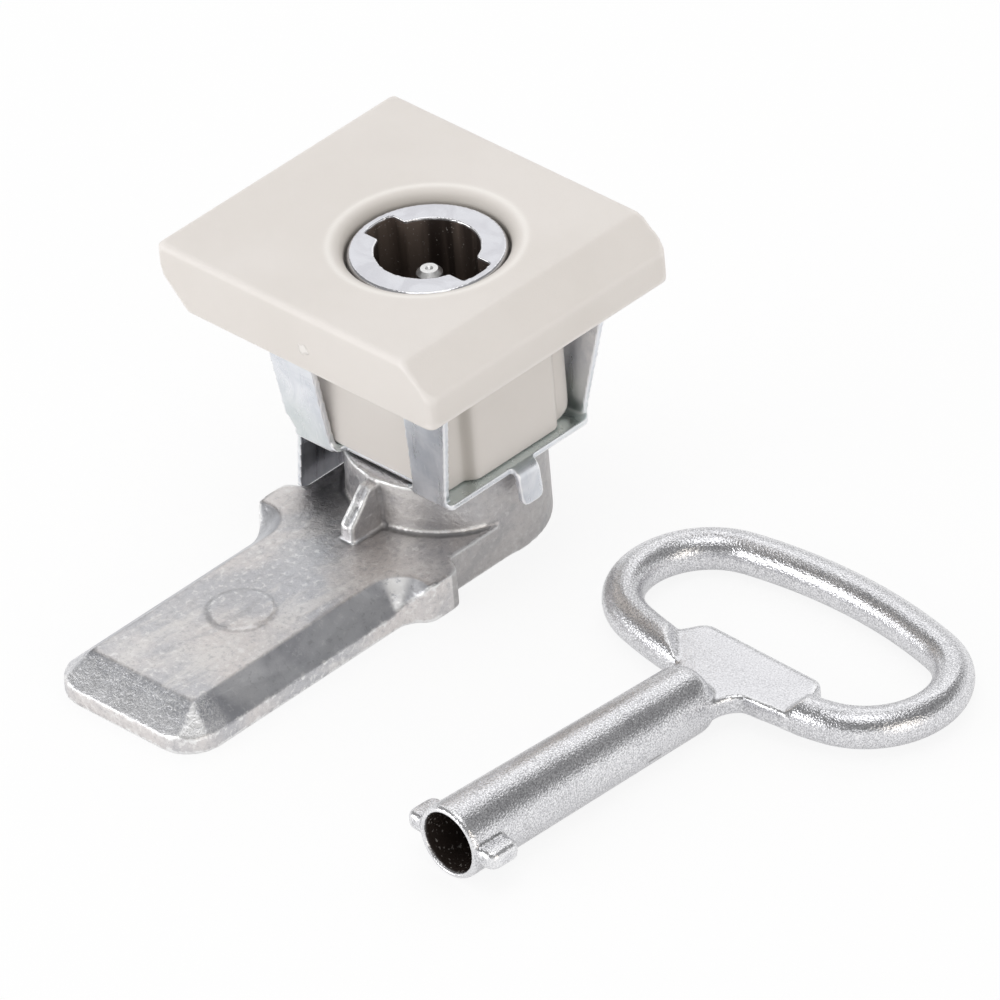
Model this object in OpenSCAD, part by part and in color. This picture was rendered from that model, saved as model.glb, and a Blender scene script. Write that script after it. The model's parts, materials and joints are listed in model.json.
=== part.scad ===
// Quarter-turn cabinet latch with wedge cam, snap-in spring clip and its loose double-bit key.
// The origin is on the lock axis, in the plane where the head seats on the door panel.
// +Z points out of the panel to the operator and the cam arm points along -Y.

/* [Head] */
// Length of the head along X, from the undercut edge to the bevelled edge
head_len = 42.1; // [38:0.1:48]
// Width of the head along Y
head_wid = 37.8; // [34:0.1:44]
// Height of the head above the panel
head_h = 7.8; // [7:0.1:10]
// Distance of the lock axis from the middle of the head, towards the bevelled edge
axis_offset = 2.6; // [0:0.1:4]
// Width of the bevel on the +X edge
bevel_w = 4.1; // [2:0.1:5]
// Drop of the bevel on the +X edge
bevel_drop = 3.6; // [2:0.1:4.5]
// Upright band left above the undercut on the -X edge
undercut_band = 3; // [2:0.1:4]
// Depth of the undercut along X
undercut_w = 4.4; // [2:0.1:5]
// Rounding of the head's edges
head_round = 0.7; // [0.3:0.1:1.2]
// Radius of the rolled recess round the insert, at the top of the head
recess_r = 11.2; // [10.4:0.1:12.5]
// Depth of the insert's rim below the top of the head
rim_sink = 1; // [0.6:0.1:1.6]

/* [Housing body] */
// Height of the body behind the panel
body_h = 16.5; // [14:0.1:22]
// Half length of the body along X, over its guide pads
pad_x = 11.2; // [10.5:0.1:12.5]
// Half width of a guide pad along Y
pad_y = 5.9; // [4:0.1:6.4]
// Extra width of the guide pads towards +Y
pad_more = 1; // [0:0.1:1.2]
// Height of a guide pad over the corner posts
pad_step = 1; // [0.4:0.1:1.4]
// Half width of the body along Y
body_y = 10.5; // [10:0.1:12]
// Rounding of the body's lower edge on +Y
body_foot_r = 2.8; // [1:0.1:3.5]
// Thickness of the panel seal
seal_t = 1; // [0.8:0.1:1.6]
// Width of the panel seal's band round the cut-out
seal_w = 2.4; // [1.6:0.1:2.8]

/* [Insert] */
// Radius of the insert's rim and head
insert_r = 9; // [8.6:0.1:9.4]
// Radius of the round key hole
key_hole_r = 5.9; // [5.4:0.1:6.2]
// Radius to the tips of the two key notches
notch_r = 7.9; // [7.2:0.1:8.2]
// Width of a key notch
notch_w = 4.3; // [3.8:0.1:4.6]
// Depth of the key socket below the rim
socket_deep = 12; // [9:0.1:13]
// Radius of the centre pin
pin_r = 1.5; // [1.2:0.1:2]
// Depth of the pin's tip below the rim
pin_sink = 2.7; // [1:0.1:5]
// Radius of the spindle that turns in the clip and the body
spindle_r = 6; // [5.6:0.1:6.4]
// Width across the flats of the square that drives the cam
square_w = 8; // [7:0.1:8.4]
// Thickness of the seal ring's round section
oring_d = 1.5; // [1.2:0.1:1.8]

/* [Spring clip] */
// Thickness of the clip's sheet steel
sheet_t = 0.8; // [0.5:0.1:1]
// Half length of the clip's base along X
clip_x = 12.3; // [11.9:0.1:13]
// Height of the gap between the head and the tips of the legs
grip_gap = 2.3; // [2.1:0.1:4]
// Half distance between the inner edges of a pair of legs, at the base
leg_in = 6.3; // [5:0.1:7.5]
// Half distance between the outer edges of a pair of legs, at the base
leg_foot = 11.4; // [10.4:0.1:11.8]
// Outward flare of a leg's outer edge, from base to tip
leg_flare = 2.7; // [1:0.1:3]
// Lean of the legs away from the body, in degrees
leg_lean = 6.5; // [3:0.5:9]
// Place of the stop tab's working edge along Y
tab_edge = -1.7; // [-2:0.1:0]
// Width of the stop tab on the +X edge
tab_w = 3.3; // [2.5:0.1:4]
// Depth of the stop tab below the base
tab_drop = 4; // [3.4:0.1:5]
// Lean of tab and flap away from the hub, in degrees
tab_lean = 6; // [0:0.5:8]
// Width of the shield flap on the -X edge
flap_w = 7.6; // [5:0.1:7.6]
// Depth of the shield flap below the base
flap_drop = 8; // [4.5:0.1:8.4]

/* [Cam] */
// Radius of the cam's hub
hub_r = 11.4; // [10.8:0.1:11.5]
// Height of the hub above the flat of the arm
hub_rise = 6.2; // [5.8:0.1:8]
// Half width of the arm
arm_x = 11.2; // [9:0.1:11.5]
// Thickness of the arm
arm_t = 4.95; // [4.6:0.05:6.5]
// Distance from the lock axis to the tip of the arm
arm_reach = 52.2; // [40:0.1:60]
// Width of the sloped side of the arm
slope_w = 3.4; // [2:0.1:4]
// Drop of the sloped sides and end of the arm
slope_drop = 2.9; // [1.5:0.1:3.4]
// Length of the sloped end of the arm
end_slope = 4.1; // [2.5:0.1:6]
// Half width of the two ears at the root of the arm
ear_x = 13.5; // [12.4:0.1:14.5]
// Distance from the lock axis to the far end of the ears
ear_end = 16.6; // [15:0.1:19]
// Radius of the round pad on the arm
pad_r = 3.6; // [2.5:0.1:5]
// Distance of the round pad from the lock axis
pad_reach = 32.7; // [26:0.1:38]
// Reach of the stop rib from the lock axis
rib_reach = 16.2; // [14.5:0.1:17.5]
// Width of the stop rib at its foot
rib_w = 2.2; // [1.6:0.1:2.6]

/* [Key] */
// Radius of the key's barrel at the bits
barrel_r = 4.4; // [4.2:0.05:5.2]
// Radius of the key's barrel at the bow
barrel_r_bow = 4.05; // [3.8:0.05:4.8]
// Radius of the key's bore
bore_r = 3.6; // [2.2:0.05:3.8]
// Depth of the key's bore
bore_deep = 16; // [12:0.5:26]
// Half span over the two bits
bit_x = 6.8; // [6:0.1:7.1]
// Length of the bits along the barrel
bit_len = 4.4; // [3.5:0.1:8]
// Thickness of the bits
bit_t = 2.3; // [2:0.1:3.4]
// Distance from the middle of the bow to the mouth of the barrel
key_len = 52.5; // [45:0.5:70]
// Radius of the bow's round bar
bow_bar = 2.38; // [2:0.05:3]
// Half length of the bow, to the middle of its bar
bow_a = 21.7; // [18:0.1:26]
// Half height of the bow, to the middle of its bar
bow_b = 10.7; // [10.2:0.1:13]
// Bend radius at the ends of the bow, to the middle of its bar
bow_end_r = 9.2; // [7:0.1:9.6]
// Half length of the flat web between barrel and bow
web_x = 9.9; // [7.5:0.1:11]
// Thickness of the web
web_t = 4.8; // [3:0.1:5]
// Place of the bow's middle beside the latch, along X and Y
key_at = [48.7, 3.2];
// Turn of the key on the floor, in degrees
key_turn = -1.2; // [-20:0.2:20]

/* [Hidden] */
$fn = 72;
eps = 0.01;
slip = 0.05;
running_gap = 0.1;
body_gap = 0.4;

head_mid = -axis_offset;
head_x0 = head_mid - head_len / 2;
head_x1 = head_mid + head_len / 2;
post_x = pad_x - pad_step;
rim_z = head_h - rim_sink;
bore_gap = 0.3;
pin_shank_r = 0.8 * pin_r;
floor_z = rim_z - socket_deep;
web_below_socket = 2.6;
shoulder_z = floor_z - web_below_socket;

base_top = -body_h;
base_bottom = base_top - sheet_t;
clip_y = body_y + sheet_t;
strip_y = body_y - 0.5;
tab_face = clip_x + 1.1;
flap_face = clip_x + 0.2;
flap_edge = -body_y - 0.2;
strip_bend_r = 1.6;
leg_out = leg_foot + leg_flare;
cut_x = leg_out + 0.3;
cut_y = clip_y + 0.5;

spring_h = 0.6;
spring_t = 0.25;
spring_r = 7.9;
spring_top = base_bottom - running_gap;
ring_t = 1;
ring_top = spring_top - spring_h;
ring_r = 7.5;
ring_groove = 0.6;
ring_lip = 1;
ring_eye = 0.7;

hub_top = base_bottom - body_gap;
flat_z = hub_top - hub_rise;
cam_bottom = flat_z - arm_t;
ring_pocket_r = 9;
ring_pocket_z = ring_top - ring_t - ring_lip;
screw_r = 2.5;
screw_washer_t = 1;
screw_washer_r = 5.5;
screw_head_h = 3.5;
screw_head_r = 4.6;
screw_pocket_r = 6.6;
screw_sink = 0.7;
pocket_top = cam_bottom + screw_sink + screw_head_h + screw_washer_t;
square_end = pocket_top + running_gap;
screw_deep = 9;

ear_start = 12.3;
runout_r = slope_w + 0.6;
runout_y = ear_end + runout_r - 0.4;
corner_turn = 36;
rib_top = hub_top - 0.5;
rib_crest = 12.6;
rib_crest_w = 0.75 * rib_w;
pad_rise = 0.3;

bow_side_h = (pow(bow_a - bow_end_r, 2) - pow(bow_b - bow_end_r, 2)) / (2 * (bow_b - bow_end_r));
bow_side_r = bow_b + bow_side_h;
bow_side_turn = atan2(bow_a - bow_end_r, bow_side_h);
key_tilt = asin((barrel_r - bow_bar) / (key_len + bow_b));
key_z = cam_bottom + bow_bar + bow_b * sin(key_tilt);

// Outlines with rounded corners
function unit(v) = v / norm(v);
function cross_z(a, b) = a[0] * b[1] - a[1] * b[0];
function corner_arc(a, b, c, r, steps) =
    let (u = unit(a - b), v = unit(c - b), half = acos(u * v) / 2)
    let (centre = b + unit(u + v) * r / sin(half), start = b + u * r / tan(half) - centre)
    let (from = atan2(start[1], start[0]), turn = -sign(cross_z(u, v)) * (180 - 2 * half))
    [for (i = [0:steps]) centre + r * [cos(from + turn * i / steps), sin(from + turn * i / steps)]];
function rounded(p, r, steps = 5) =
    let (n = len(p))
    [for (i = [0:n - 1])
        each (r[i] == 0 ? [p[i]] : corner_arc(p[(i + n - 1) % n], p[i], p[(i + 1) % n], r[i], steps))];
function mirrored(p) = [for (i = [len(p) - 1:-1:0]) [-p[i][0], p[i][1]]];
function backwards(r) = [for (i = [len(r) - 1:-1:0]) r[i]];
function box_outline(x0, x1, y) = [[x0, -y], [x1, -y], [x1, y], [x0, y]];

// Head: side profile, end profile and plan meet in one block with rounded edges
module head_block() {
    side = [[head_x0 + undercut_w, 0], [head_x1, 0], [head_x1, head_h - bevel_drop],
            [head_x1 - bevel_w, head_h], [head_x0, head_h], [head_x0, head_h - undercut_band]];
    side_round = [2.5, 0.4, 1, 1.2, head_round, 0.6];
    ends = [[-head_wid / 2, 0], [head_wid / 2, 0], [head_wid / 2, head_h], [-head_wid / 2, head_h]];
    intersection() {
        translate([0, head_wid / 2, 0])
            rotate([90, 0, 0])
                linear_extrude(head_wid)
                    polygon(rounded(side, side_round));
        translate([head_x0, 0, 0])
            rotate([90, 0, 90])
                linear_extrude(head_len)
                    polygon(rounded(ends, [0.4, 0.4, head_round, head_round]));
        linear_extrude(head_h)
            polygon(rounded(box_outline(head_x0, head_x1, head_wid / 2), [1, 1, 1, 1]));
    }
}

// Plan of the body: a guide pad on each X side between two corner posts
function body_side() = [[post_x, -body_y], [post_x, -pad_y - pad_step], [pad_x, -pad_y],
                        [pad_x, pad_y + pad_more], [post_x, pad_y + pad_more + 0.6], [post_x, body_y]];
body_round = [1.2, 0.5, 0.5, 0.5, 0.3, 1.5];
module body_plan(grow = 0) {
    s = [for (p = body_side()) [p[0] + grow, p[1] + grow * sign(p[1])]];
    polygon(rounded(concat(s, mirrored(s)), concat(body_round, backwards(body_round))));
}

// Rolled edge of the recess, as a quarter oval from the top face down to the bore
module recess_cut() {
    mouth_r = insert_r + bore_gap;
    roll = recess_r - mouth_r;
    deep = head_h - rim_z + 0.4;
    arc = [for (i = [0:6]) [mouth_r + roll * (1 - cos(15 * i)), head_h - deep + deep * sin(15 * i)]];
    rotate_extrude()
        polygon(concat([[0, rim_z - 2]], [[mouth_r, rim_z - 2]], arc, [[0, head_h + eps], [0, rim_z - 2]]));
}

// Band of the seal, just outside the panel's cut-out
module seal_plan(grow = 0) {
    x = cut_x + 0.3;
    y = cut_y + 0.3;
    w = seal_w + grow;
    difference() {
        polygon(rounded(box_outline(-x - w, x + w, y + w), [2, 2, 2, 2]));
        square([2 * (x - grow), 2 * (y - grow)], center = true);
    }
}

// Body with its lower edge on +Y rounded
module body_block() {
    h = body_h + seal_t + 1;
    side = [[-body_y - 1, 0], [body_y, 0], [body_y, h], [-body_y - 1, h]];
    translate([0, 0, base_top]) intersection() {
        linear_extrude(h) body_plan();
        translate([-pad_x - 1, 0, 0]) rotate([90, 0, 90])
            linear_extrude(2 * pad_x + 2) polygon(rounded(side, [0, body_foot_r, 0, 0], 8));
    }
}

module housing() {
    color("gainsboro") difference() {
        union() {
            head_block();
            body_block();
        }
        recess_cut();
        translate([0, 0, shoulder_z - running_gap])
            cylinder(r = insert_r + running_gap, h = rim_z - shoulder_z);
        translate([0, 0, base_top - 1]) cylinder(r = spindle_r + running_gap, h = body_h);
        translate([0, 0, -eps]) linear_extrude(seal_t + eps) seal_plan(0.05);
    }
}

module panel_seal() {
    color("dimgray") linear_extrude(seal_t) seal_plan();
}

// One leg, flat in its own plane: u runs along X from the middle and v runs up from the bend. Its
// outer edge belongs to one X side, where it bellies out at once, or is hollow on the other side.
function leg_outline(h, belly) =
    [[leg_in - 1.5, 0], [leg_foot, 0], [leg_foot + belly * leg_flare, 0.17 * h], [leg_out, h],
     [leg_in + 0.9, h], [leg_in + 0.5, 0.45 * h], [leg_in, 0.05]];
module leg(belly) {
    h = (body_h - grip_gap) / cos(leg_lean);
    translate([0, -clip_y, base_bottom + sheet_t / 2])
        rotate([leg_lean, 0, 0])
            rotate([90, 0, 0])
                translate([0, 0, -sheet_t])
                    linear_extrude(sheet_t)
                        polygon(rounded(leg_outline(h, belly), [0, 0, 2, 1.2, 0.8, 3, 1.3], 4));
}

// Plan of the base: wide under the legs, and hardly wider than the body between them
module clip_plan() {
    neck_x = leg_in - 1.1;
    s = [[neck_x, -strip_y], [leg_in, -clip_y], [clip_x, -clip_y],
         [clip_x, clip_y], [leg_in, clip_y], [neck_x, strip_y]];
    r = [0.4, 0.4, 0.6, 1.4, 0.4, 0.4];
    polygon(rounded(concat(s, mirrored(s)), concat(r, backwards(r))));
}

// A strip bent down from the edge of the base: flat run, bend and leaning blade with round corners.
// Its outer face would stand at x = face if it had no lean, and it runs from y = 0 to y = w.
module bent_strip(face, w, drop) {
    x0 = face - strip_bend_r;
    tip = -sheet_t - drop;
    blade = [[0, 5], [0, tip], [w, tip], [w, 5]];
    intersection() {
        translate([0, w, 0]) rotate([90, 0, 0]) linear_extrude(w) difference() {
            union() {
                translate([x0 - 2, -sheet_t]) square([2, sheet_t]);
                translate([x0, -strip_bend_r]) {
                    intersection() {
                        circle(r = strip_bend_r);
                        translate([0, -0.5]) square(strip_bend_r + 0.5);
                    }
                    rotate([0, 0, tab_lean])
                        translate([strip_bend_r - sheet_t, -drop - 2])
                            square([sheet_t, drop + 2]);
                }
            }
            translate([x0, -strip_bend_r]) circle(r = strip_bend_r - sheet_t);
        }
        translate([x0 - 3, 0, 0])
            rotate([90, 0, 90]) linear_extrude(8) polygon(rounded(blade, [0, 0.8, 0.8, 0]));
    }
}

module spring_clip() {
    color("silver") {
        difference() {
            translate([0, 0, base_bottom]) linear_extrude(sheet_t) clip_plan();
            translate([0, 0, base_bottom - 1]) cylinder(r = spindle_r + running_gap, h = 3);
        }
        for (sy = [0, 1]) mirror([0, sy, 0]) {
            leg(0.12);
            mirror([1, 0, 0]) leg(0.62);
        }
        translate([0, tab_edge, base_top]) bent_strip(tab_face, tab_w, tab_drop);
        mirror([1, 0, 0])
            translate([0, flap_edge, base_top])
                bent_strip(flap_face, flap_w, flap_drop);
    }
}

module notch_plan() {
    intersection() {
        circle(r = notch_r);
        square([2 * notch_r, notch_w], center = true);
    }
}

module key_insert() {
    groove_z = 1.5;
    groove_r = insert_r + running_gap - slip - oring_d;
    half = oring_d / 2 + 0.15;
    color("gainsboro") difference() {
        union() {
            rotate_extrude()
                polygon([[0, ring_pocket_z], [spindle_r, ring_pocket_z],
                         [spindle_r, ring_top - ring_t - slip],
                         [spindle_r - ring_groove, ring_top - ring_t - slip],
                         [spindle_r - ring_groove, ring_top + slip], [spindle_r, ring_top + slip],
                         [spindle_r, shoulder_z], [insert_r, shoulder_z],
                         [insert_r, groove_z - half], [groove_r, groove_z - half],
                         [groove_r, groove_z + half], [insert_r, groove_z + half],
                         [insert_r, rim_z - 0.3], [insert_r - 0.3, rim_z], [0, rim_z]]);
            translate([-square_w / 2, -square_w / 2, square_end])
                cube([square_w, square_w, ring_pocket_z - square_end + 1]);
        }
        translate([0, 0, floor_z]) cylinder(r = key_hole_r, h = socket_deep + 1);
        translate([0, 0, floor_z]) linear_extrude(socket_deep + 1) notch_plan();
        translate([0, 0, shoulder_z]) cylinder(r = pin_shank_r + slip, h = web_below_socket + 1);
        translate([0, 0, square_end - 1]) cylinder(r = screw_r, h = screw_deep + 1);
    }
}

module socket_pin() {
    tip = rim_z - pin_sink;
    edge = 0.5;
    color("silver") rotate_extrude()
        polygon([[0, shoulder_z], [pin_shank_r, shoulder_z], [pin_shank_r, floor_z], [pin_r, floor_z],
                 [pin_r, tip - edge], [pin_r - edge, tip], [0.45, tip], [0, tip - 0.3]]);
}

module insert_seal() {
    color("black") translate([0, 0, 1.5]) rotate_extrude()
        translate([insert_r + running_gap - slip - oring_d / 2, 0]) circle(r = oring_d / 2, $fn = 32);
}

module disc_spring() {
    color("slategray") rotate_extrude()
        polygon([[spindle_r + slip, ring_top], [spindle_r + slip + 0.4, ring_top],
                 [spring_r, spring_top - spring_t], [spring_r, spring_top],
                 [spring_r - 0.4, spring_top], [spindle_r + slip, ring_top + spring_t]]);
}

// External retaining ring with two eyes beside its gap
module retaining_ring() {
    eye_turn = 20;
    color("slategray") translate([0, 0, ring_top - ring_t]) difference() {
        union() {
            cylinder(r = ring_r, h = ring_t);
            for (s = [-1, 1])
                rotate(s * eye_turn) translate([0, ring_r - 0.6, 0]) cylinder(r = 1.7, h = ring_t);
        }
        translate([0, 0, -1]) cylinder(r = spindle_r - ring_groove + slip, h = ring_t + 2);
        translate([-1.2, 0, -1]) cube([2.4, 12, ring_t + 2]);
        for (s = [-1, 1])
            rotate(s * eye_turn) translate([0, ring_r - 0.3, -1]) cylinder(r = ring_eye, h = ring_t + 2);
    }
}

// Plan of the cam: hub sides run straight to the ears, then to the narrower arm
module cam_plan() {
    shoulder = ear_end + 2;
    s = [[arm_x, 0], [arm_x, -ear_start + 1.2], [ear_x, -ear_start], [ear_x, -ear_end],
         [arm_x, -shoulder], [arm_x, -arm_reach]];
    r = [0, 0.8, 1.2, 2.2, 3, 4.4];
    points = concat(mirrored(s), s);
    circle(r = hub_r);
    polygon(rounded([for (i = [len(points) - 1:-1:0]) points[i]], concat(backwards(r), r)));
}

// Wedge that takes away one sloped face; its top edge runs through the local Y axis
module slope_cut(length, width) {
    extra = 6;
    k = slope_drop / width;
    rotate([90, 0, 0]) linear_extrude(length)
        polygon([[0, 0], [width + extra, -slope_drop - extra * k], [width + extra, 2], [-2 / k, 2]]);
}

module cam_slopes() {
    long = arm_reach + 10;
    edge = arm_x - slope_w;
    end_y = -(arm_reach - end_slope);
    for (s = [0, 1]) mirror([s, 0, 0]) {
        translate([edge, -runout_y, flat_z]) intersection() {
            slope_cut(long, slope_w);
            translate([-1, -long, -slope_drop]) cube([30, long, slope_drop + 2]);
        }
        translate([edge + runout_r, -runout_y, flat_z - slope_drop])
            cylinder(r1 = runout_r - slope_w, r2 = runout_r, h = slope_drop);
        translate([edge, end_y, flat_z]) rotate([0, 0, -corner_turn])
            translate([0, 20, 0]) intersection() {
                slope_cut(40, slope_w);
                translate([-1, -40, -slope_drop]) cube([30, 40, slope_drop + 2]);
            }
    }
    translate([20, end_y, flat_z]) rotate([0, 0, -90]) intersection() {
        slope_cut(40, end_slope);
        translate([-1, -40, -slope_drop]) cube([30, 40, slope_drop + 2]);
    }
}

// Stop rib: side profile and tapered end profile, with a groove down its crest
module stop_rib() {
    toe = 2.1;
    side = [[-hub_r + 2, flat_z - 0.5], [-hub_r + 2, rib_top], [-rib_crest, rib_top],
            [-rib_reach + 0.2, flat_z + toe], [-rib_reach, flat_z - 0.5]];
    ends = [[-rib_w / 2, flat_z - 0.5], [rib_w / 2, flat_z - 0.5],
            [rib_crest_w / 2, rib_top + 0.1], [-rib_crest_w / 2, rib_top + 0.1]];
    fall = atan2(rib_top - flat_z - toe, rib_reach - 0.2 - rib_crest);
    difference() {
        intersection() {
            translate([-rib_w, 0, 0]) rotate([90, 0, 90]) linear_extrude(2 * rib_w)
                polygon(rounded(side, [0, 0, 0.4, 0.4, 0]));
            rotate([90, 0, 0]) linear_extrude(rib_reach + 1) polygon(ends);
        }
        translate([0, -rib_crest, rib_top]) rotate([fall - 90, 0, 0])
            rotate([0, 0, 45]) cube([0.45, 0.45, 20], center = true);
    }
}

module cam() {
    color("darkgray") difference() {
        union() {
            difference() {
                translate([0, 0, cam_bottom]) linear_extrude(arm_t) cam_plan();
                cam_slopes();
            }
            translate([0, 0, cam_bottom]) cylinder(r = hub_r, h = arm_t + hub_rise);
            translate([0, -pad_reach, flat_z - 1]) cylinder(r1 = pad_r + 0.3, r2 = pad_r, h = 1 + pad_rise);
            stop_rib();
        }
        translate([0, 0, ring_pocket_z]) cylinder(r = ring_pocket_r, h = 20);
        translate([0, 0, cam_bottom - 1]) cylinder(r = screw_pocket_r, h = pocket_top - cam_bottom + 1);
        hole = square_w + 2 * slip;
        translate([-hole / 2, -hole / 2, cam_bottom]) cube([hole, hole, 20]);
    }
}

module cam_washer() {
    color("silver") translate([0, 0, pocket_top - screw_washer_t]) difference() {
        cylinder(r = screw_washer_r, h = screw_washer_t);
        translate([0, 0, -1]) cylinder(r = screw_r + 0.15, h = screw_washer_t + 2);
    }
}

module cam_screw() {
    head_z = pocket_top - screw_washer_t;
    color("silver") {
        translate([0, 0, head_z - screw_head_h]) intersection() {
            cylinder(r = screw_head_r, h = screw_head_h, $fn = 6);
            cylinder(r1 = screw_head_r - 0.6, r2 = screw_head_r + 3, h = screw_head_h);
        }
        translate([0, 0, head_z]) cylinder(r = screw_r - slip, h = screw_washer_t + screw_deep - 0.5);
    }
}

// Bow: four arcs of round bar that meet without a kink. The side arcs are a hair thinner and run
// into the end arcs, so that no two round faces lie on each other.
module bow_arc(radius, from, turn, bar) {
    rotate([0, 0, from]) rotate_extrude(angle = turn) translate([radius, 0]) circle(r = bar, $fn = 36);
}
module bow() {
    lap = 36 / bow_side_r;
    for (s = [0, 180]) rotate([0, 0, s]) {
        translate([0, -bow_side_h, 0])
            bow_arc(bow_side_r, 90 - bow_side_turn - lap, 2 * (bow_side_turn + lap), bow_bar - 0.03);
        translate([bow_a - bow_end_r, 0, 0])
            bow_arc(bow_end_r, bow_side_turn - 90, 180 - 2 * bow_side_turn, bow_bar);
    }
}

// Flat web: long rounding on its left shoulder, a tight corner on the right, hollow roots
module web_plan() {
    top = -bow_b + 5.4;
    low = -bow_b - 1.7;
    right = [[barrel_r_bow, low - 6], [barrel_r_bow, low], [web_x + 1.2, low + 0.4], [web_x - 0.3, top]];
    left = [[1 - web_x, top], [-web_x - 0.8, low + 0.4], [-barrel_r_bow, low], [-barrel_r_bow, low - 6]];
    polygon(rounded(concat(right, left), [0, 3, 0.6, 0.8, 3.2, 0.6, 3, 0]));
}

module key_body() {
    barrel_end = -bow_b - 3.3;
    nose = [for (i = [0:5]) [barrel_r_bow - 1.6 * (1 - cos(18 * i)), 1.6 * sin(18 * i) - 1.6]];
    difference() {
        union() {
            translate([0, -key_len, 0]) rotate([-90, 0, 0]) {
                cylinder(r1 = barrel_r - 0.5, r2 = barrel_r, h = 0.5);
                translate([0, 0, 0.5])
                    cylinder(r1 = barrel_r, r2 = barrel_r_bow, h = key_len + barrel_end - 2.1);
            }
            translate([0, barrel_end, 0]) rotate([-90, 0, 0]) rotate_extrude()
                polygon(concat([[0, -1.6]], nose, [[0, 0]]));
            translate([0, -key_len + 0.6 + bit_len / 2, -bit_t / 2]) linear_extrude(bit_t)
                polygon(rounded(box_outline(-bit_x, bit_x, bit_len / 2), [0.8, 0.8, 0.8, 0.8]));
            translate([0, 0, -web_t / 2]) linear_extrude(web_t) web_plan();
            bow();
        }
        translate([0, -key_len - 1, 0]) rotate([-90, 0, 0]) cylinder(r = bore_r, h = bore_deep + 1);
    }
}

module key() {
    color("silver")
        translate([key_at[0], key_at[1], key_z])
            rotate([0, 0, key_turn])
                rotate([-key_tilt, 0, 0])
                    key_body();
}

housing();
panel_seal();
spring_clip();
key_insert();
socket_pin();
insert_seal();
disc_spring();
retaining_ring();
cam();
cam_washer();
cam_screw();
key();
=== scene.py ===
# %% [markdown]
# # A cabinet latch and its key
# The latch is dressed on top of a fixed frame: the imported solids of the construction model.
# This lesson goes from the camera and the light to the finishes, and then piece by piece through
# the castings, the sheet-metal clip, the chrome insert and the key.

import json
import math

import bmesh
import bpy
import numpy as np
from mathutils import Matrix, Vector


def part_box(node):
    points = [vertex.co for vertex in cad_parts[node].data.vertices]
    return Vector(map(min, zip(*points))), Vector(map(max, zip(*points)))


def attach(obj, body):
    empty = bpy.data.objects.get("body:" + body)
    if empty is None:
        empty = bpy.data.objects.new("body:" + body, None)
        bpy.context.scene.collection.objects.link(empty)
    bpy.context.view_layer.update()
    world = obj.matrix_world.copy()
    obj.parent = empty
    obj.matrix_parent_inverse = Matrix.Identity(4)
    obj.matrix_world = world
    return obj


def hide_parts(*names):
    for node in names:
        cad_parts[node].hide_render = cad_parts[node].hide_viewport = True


MM = 0.001
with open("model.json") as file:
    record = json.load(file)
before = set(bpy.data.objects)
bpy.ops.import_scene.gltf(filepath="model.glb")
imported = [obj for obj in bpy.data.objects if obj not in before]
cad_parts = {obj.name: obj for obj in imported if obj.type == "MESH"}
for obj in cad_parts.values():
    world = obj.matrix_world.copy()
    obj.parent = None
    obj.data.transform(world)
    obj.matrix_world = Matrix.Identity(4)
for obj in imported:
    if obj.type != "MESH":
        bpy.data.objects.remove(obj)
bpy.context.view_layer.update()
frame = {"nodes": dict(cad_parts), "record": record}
scene = bpy.context.scene
print("nodes:", ", ".join(sorted(frame["nodes"])))

# %% [markdown]
# ## Camera
# The picture was taken with a long lens from above, a little more than half way round to the
# right. The camera looks at a point between latch and key. Its place follows from an azimuth, an
# elevation and a distance, and a small roll tilts the picture as it is in the photograph.

# %% Camera
AZIMUTH = math.radians(46.94)
ELEVATION = math.radians(34.87)
ROLL = math.radians(-5.06)
DISTANCE = 1.76778
LOOK_AT = Vector((2.15, 5.56, -29.33)) * MM
LENS = 570.8


def in_scene(name, data):
    holder = bpy.data.objects.new(name, data)
    scene.collection.objects.link(holder)
    return holder


def aim_camera():
    back = Vector((
        math.sin(AZIMUTH) * math.cos(ELEVATION),
        -math.cos(AZIMUTH) * math.cos(ELEVATION),
        math.sin(ELEVATION),
    ))
    right = Vector((math.cos(AZIMUTH), math.sin(AZIMUTH), 0))
    up = back.cross(right)
    right_rolled = right * math.cos(ROLL) + up * math.sin(ROLL)
    up_rolled = back.cross(right_rolled)
    turn = Matrix((right_rolled, up_rolled, back)).transposed().to_4x4()
    camera = in_scene("camera", bpy.data.cameras.new("camera"))
    camera.data.lens = LENS
    camera.data.sensor_width = 36
    camera.data.clip_end = 10
    camera.matrix_world = Matrix.Translation(LOOK_AT + back * DISTANCE) @ turn
    scene.camera = camera
    return camera


camera = aim_camera()
print("camera at", [round(x, 3) for x in camera.location], "m")

# %% [markdown]
# ## Light
# Small bright metal parts look like metal only if they have something to reflect. Four soft
# panels stand round the object, and the room between them is darker high up, so the sloped faces
# of the castings turn darker than the flat ones. A panel is described by how bright its surface
# is, because that is what metal shows; its power follows from its area.

# %% Soft panels
def soft_panel(name, place, size, brightness, colour=(1, 1, 1), aim=LOOK_AT):
    lamp = bpy.data.lights.new(name, "AREA")
    lamp.color = colour
    lamp.shape = "RECTANGLE"
    lamp.size, lamp.size_y = size
    lamp.energy = brightness * math.pi * size[0] * size[1]
    holder = in_scene(name, lamp)
    holder.location = Vector(place)
    holder.rotation_euler = (aim - holder.location).to_track_quat("-Z", "Y").to_euler()
    return holder


PANELS = [
    soft_panel("panel_above", (0.05, -0.05, 0.55), (0.42, 0.42), 1.2),
    soft_panel("panel_back_left", (-0.34, 0.47, 0.56), (0.88, 0.6), 0.84),
    soft_panel("panel_front_left", (-0.34, -0.62, 0.2), (0.5, 0.4), 2.3),
    soft_panel("panel_right", (0.66, -0.12, 0.16), (0.34, 0.4), 1.12, (1, 0.93, 0.83)),
]
print("panels:", [(p.name, round(p.data.energy, 2)) for p in PANELS])

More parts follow.
